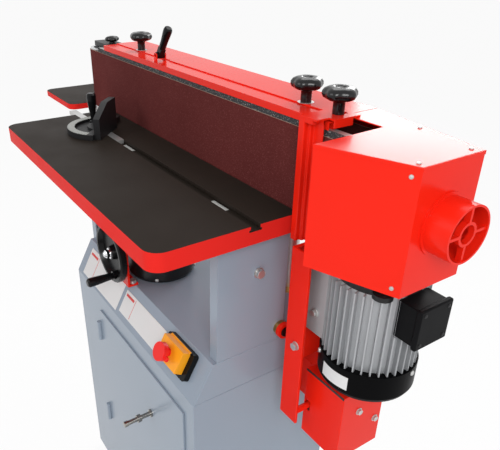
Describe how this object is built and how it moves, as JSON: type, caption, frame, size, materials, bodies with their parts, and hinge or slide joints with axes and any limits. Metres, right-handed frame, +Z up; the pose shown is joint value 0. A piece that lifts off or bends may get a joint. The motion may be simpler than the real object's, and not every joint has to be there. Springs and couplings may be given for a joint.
{
  "type": "oscillating edge sander",
  "caption": "Oscillating edge sander: long upright sanding belt on two drums over a dark table with mitre gauge, red covers, dust hood and finned motor, on a blue-grey cabinet stand.",
  "frame": {"origin": "middle of the bounding box at floor level", "axes": "+X along the belt towards the motor end, +Y away from the operator, +Z up"},
  "size_m": [1.364, 0.4388, 1.2155],
  "materials": {
    "red_paint": "gloss red enamel",
    "grey_paint": "satin blue-grey enamel",
    "black_paint": "satin black enamel",
    "table_iron": "dark coated cast iron with a red edge",
    "steel": "machined steel",
    "chrome": "bright plated steel",
    "alloy": "cast aluminium",
    "brass": "bronze and brass",
    "belt": "abrasive grain on cloth",
    "graphite": "graphite coated canvas",
    "black_plastic": "moulded black plastic",
    "yellow_plastic": "moulded yellow plastic",
    "red_plastic": "moulded red plastic",
    "green_plastic": "moulded green plastic"
  },
  "bodies": {
    "stand": {"cabinet": "grey_paint", "console": "grey_paint", "levelling_feet": "black_plastic", "hinge_pins": "steel", "risers": "grey_paint", "frame_bolts": "chrome", "stay_collars": "red_paint", "bushes": "brass", "guide_columns": "grey_paint", "switch_base": "black_plastic", "lift_housing": "black_paint", "lift_bracket": "red_paint", "end_arm": "grey_paint", "oscillation_box": "red_paint", "oscillation_unit": "steel"},
    "door": {"cabinet_door": "grey_paint", "door_pull": "chrome"},
    "flap": {"switch_flap": "yellow_plastic"},
    "stop_button": {"stop_button": "red_plastic"},
    "start_button": {"start_button": "green_plastic"},
    "lift_screw": {"lift_screw": "steel"},
    "handwheel": {"handwheel": "black_plastic", "wheel_shaft": "chrome"},
    "crank_grip": {"crank_grip": "black_plastic"},
    "table": {"main_table": "table_iron", "slot_keepers": "chrome", "table_sides": "red_paint", "lift_nut": "steel"},
    "mitre_bar": {"mitre_bar": "steel"},
    "mitre_head": {"mitre_head": "black_plastic"},
    "mitre_handle": {"mitre_handle": "black_plastic"},
    "end_table": {"end_table": "table_iron", "end_post": "steel"},
    "end_lock": {"end_lock": "black_plastic"},
    "head": {"head_frame": "steel", "graphite_pad": "graphite", "sanding_belt": "belt", "top_strip": "red_paint", "rear_cover": "red_paint", "guide_rods": "brass", "dust_hood": "red_paint", "hood_top": "red_paint", "dust_port": "red_paint", "motor_body": "alloy", "end_shield": "black_paint", "fan_cowl": "black_plastic", "terminal_box": "black_plastic", "motor_bracket": "red_paint", "pull_bar": "red_paint", "head_fasteners": "chrome"},
    "carriage": {"idler_carriage": "black_paint"},
    "idler": {"idler_drum": "alloy"},
    "tracking_knob": {"tracking_knob": "black_plastic"},
    "tension_lever": {"tension_lever": "black_plastic"},
    "cover_knob_a": {"cover_knob_a": "black_plastic"},
    "cover_knob_b": {"cover_knob_b": "black_plastic"},
    "work_stop": {"work_stop": "red_paint"},
    "stop_knob": {"stop_knob": "black_plastic"},
    "drive": {"drive_drum": "alloy", "drive_shaft": "steel"}
  },
  "joints": [
    {"name": "head_oscillation", "type": "slide", "parent": "stand", "child": "head", "axis": [0, 0, 1], "range_m": [-0.003, 0.003]},
    {"name": "drive_spin", "type": "hinge", "parent": "head", "child": "drive", "pos_m": [0.543, 0.0994, 0.98], "axis": [0, 0, 1], "continuous": true},
    {"name": "carriage_slide", "type": "slide", "parent": "head", "child": "carriage", "axis": [1, 0, 0], "range_m": [0, 0.01], "stiffness_N_per_m": 4000, "springref_m": -0.02},
    {"name": "idler_spin", "type": "hinge", "parent": "carriage", "child": "idler", "pos_m": [-0.4677, 0.0994, 0.98], "axis": [0, 0, 1], "continuous": true},
    {"name": "tension_lever_turn", "type": "hinge", "parent": "head", "child": "tension_lever", "pos_m": [-0.114, 0.0776, 1.152], "axis": [0, 1, 0], "range_deg": [0, 48]},
    {"name": "tracking_knob_turn", "type": "hinge", "parent": "carriage", "child": "tracking_knob", "pos_m": [-0.4247, 0.0994, 1.136], "axis": [0, 0, 1], "range_deg": [-360, 360]},
    {"name": "cover_knob_a_turn", "type": "hinge", "parent": "head", "child": "cover_knob_a", "pos_m": [-0.255, 0.1016, 1.142], "axis": [0, 0, 1], "range_deg": [0, 720]},
    {"name": "cover_knob_b_turn", "type": "hinge", "parent": "head", "child": "cover_knob_b", "pos_m": [0.342, 0.1016, 1.142], "axis": [0, 0, 1], "range_deg": [0, 720]},
    {"name": "work_stop_slide", "type": "slide", "parent": "head", "child": "work_stop", "axis": [0, -1, 0], "range_m": [0, 0.012]},
    {"name": "stop_knob_turn", "type": "hinge", "parent": "head", "child": "stop_knob", "pos_m": [0.432, 0.0856, 1.146], "axis": [0, 0, 1], "range_deg": [0, 720]},
    {"name": "table_lift", "type": "slide", "parent": "stand", "child": "table", "axis": [0, 0, 1], "range_m": [0, 0.06]},
    {"name": "lift_screw_turn", "type": "hinge", "parent": "stand", "child": "lift_screw", "pos_m": [0.021, -0.0104, 0.88], "axis": [0, 0, 1], "range_deg": [0, 2160]},
    {"name": "handwheel_turn", "type": "hinge", "parent": "stand", "child": "handwheel", "pos_m": [0.021, -0.1374, 0.781], "axis": [0, -1, 0], "range_deg": [0, 2160]},
    {"name": "crank_grip_spin", "type": "hinge", "parent": "handwheel", "child": "crank_grip", "pos_m": [0.03645, -0.1644, 0.73345], "axis": [0, -1, 0], "continuous": true},
    {"name": "mitre_slide", "type": "slide", "parent": "table", "child": "mitre_bar", "axis": [1, 0, 0], "range_m": [-0.05, 0.4]},
    {"name": "mitre_swivel", "type": "hinge", "parent": "mitre_bar", "child": "mitre_head", "pos_m": [-0.199, -0.0344, 0.98], "axis": [0, 0, 1], "range_deg": [-105, 15]},
    {"name": "mitre_handle_turn", "type": "hinge", "parent": "mitre_head", "child": "mitre_handle", "pos_m": [-0.2508, -0.03893, 0.99], "axis": [0, 0, 1], "range_deg": [0, 360]},
    {"name": "door_swing", "type": "hinge", "parent": "stand", "child": "door", "pos_m": [-0.067, -0.1438, 0.38], "axis": [0, 0, -1], "range_deg": [0, 110]},
    {"name": "flap_swing", "type": "hinge", "parent": "stand", "child": "flap", "pos_m": [0.25, -0.11058, 0.70422], "axis": [-1, 0, 0], "range_deg": [0, 85]},
    {"name": "stop_button_press", "type": "slide", "parent": "flap", "child": "stop_button", "axis": [0, 0.8779, -0.4789], "range_m": [0, 0.004], "stiffness_N_per_m": 800},
    {"name": "start_button_press", "type": "slide", "parent": "stand", "child": "start_button", "axis": [0, 0.8779, -0.4789], "range_m": [0, 0.004], "stiffness_N_per_m": 600},
    {"name": "end_table_height", "type": "slide", "parent": "stand", "child": "end_table", "axis": [0, 0, 1], "range_m": [-0.04, 0.04]},
    {"name": "end_lock_turn", "type": "hinge", "parent": "stand", "child": "end_lock", "pos_m": [-0.589, 0.0694, 0.752], "axis": [0, -1, 0], "range_deg": [0, 360]}
  ],
  "couplings": [
    {"joint": "idler_spin", "follows": "drive_spin", "ratio": 1},
    {"joint": "tension_lever_turn", "follows": "carriage_slide", "rad_per_m": 83},
    {"joint": "lift_screw_turn", "follows": "table_lift", "rad_per_m": 628.32},
    {"joint": "handwheel_turn", "follows": "table_lift", "rad_per_m": 628.32}
  ]
}
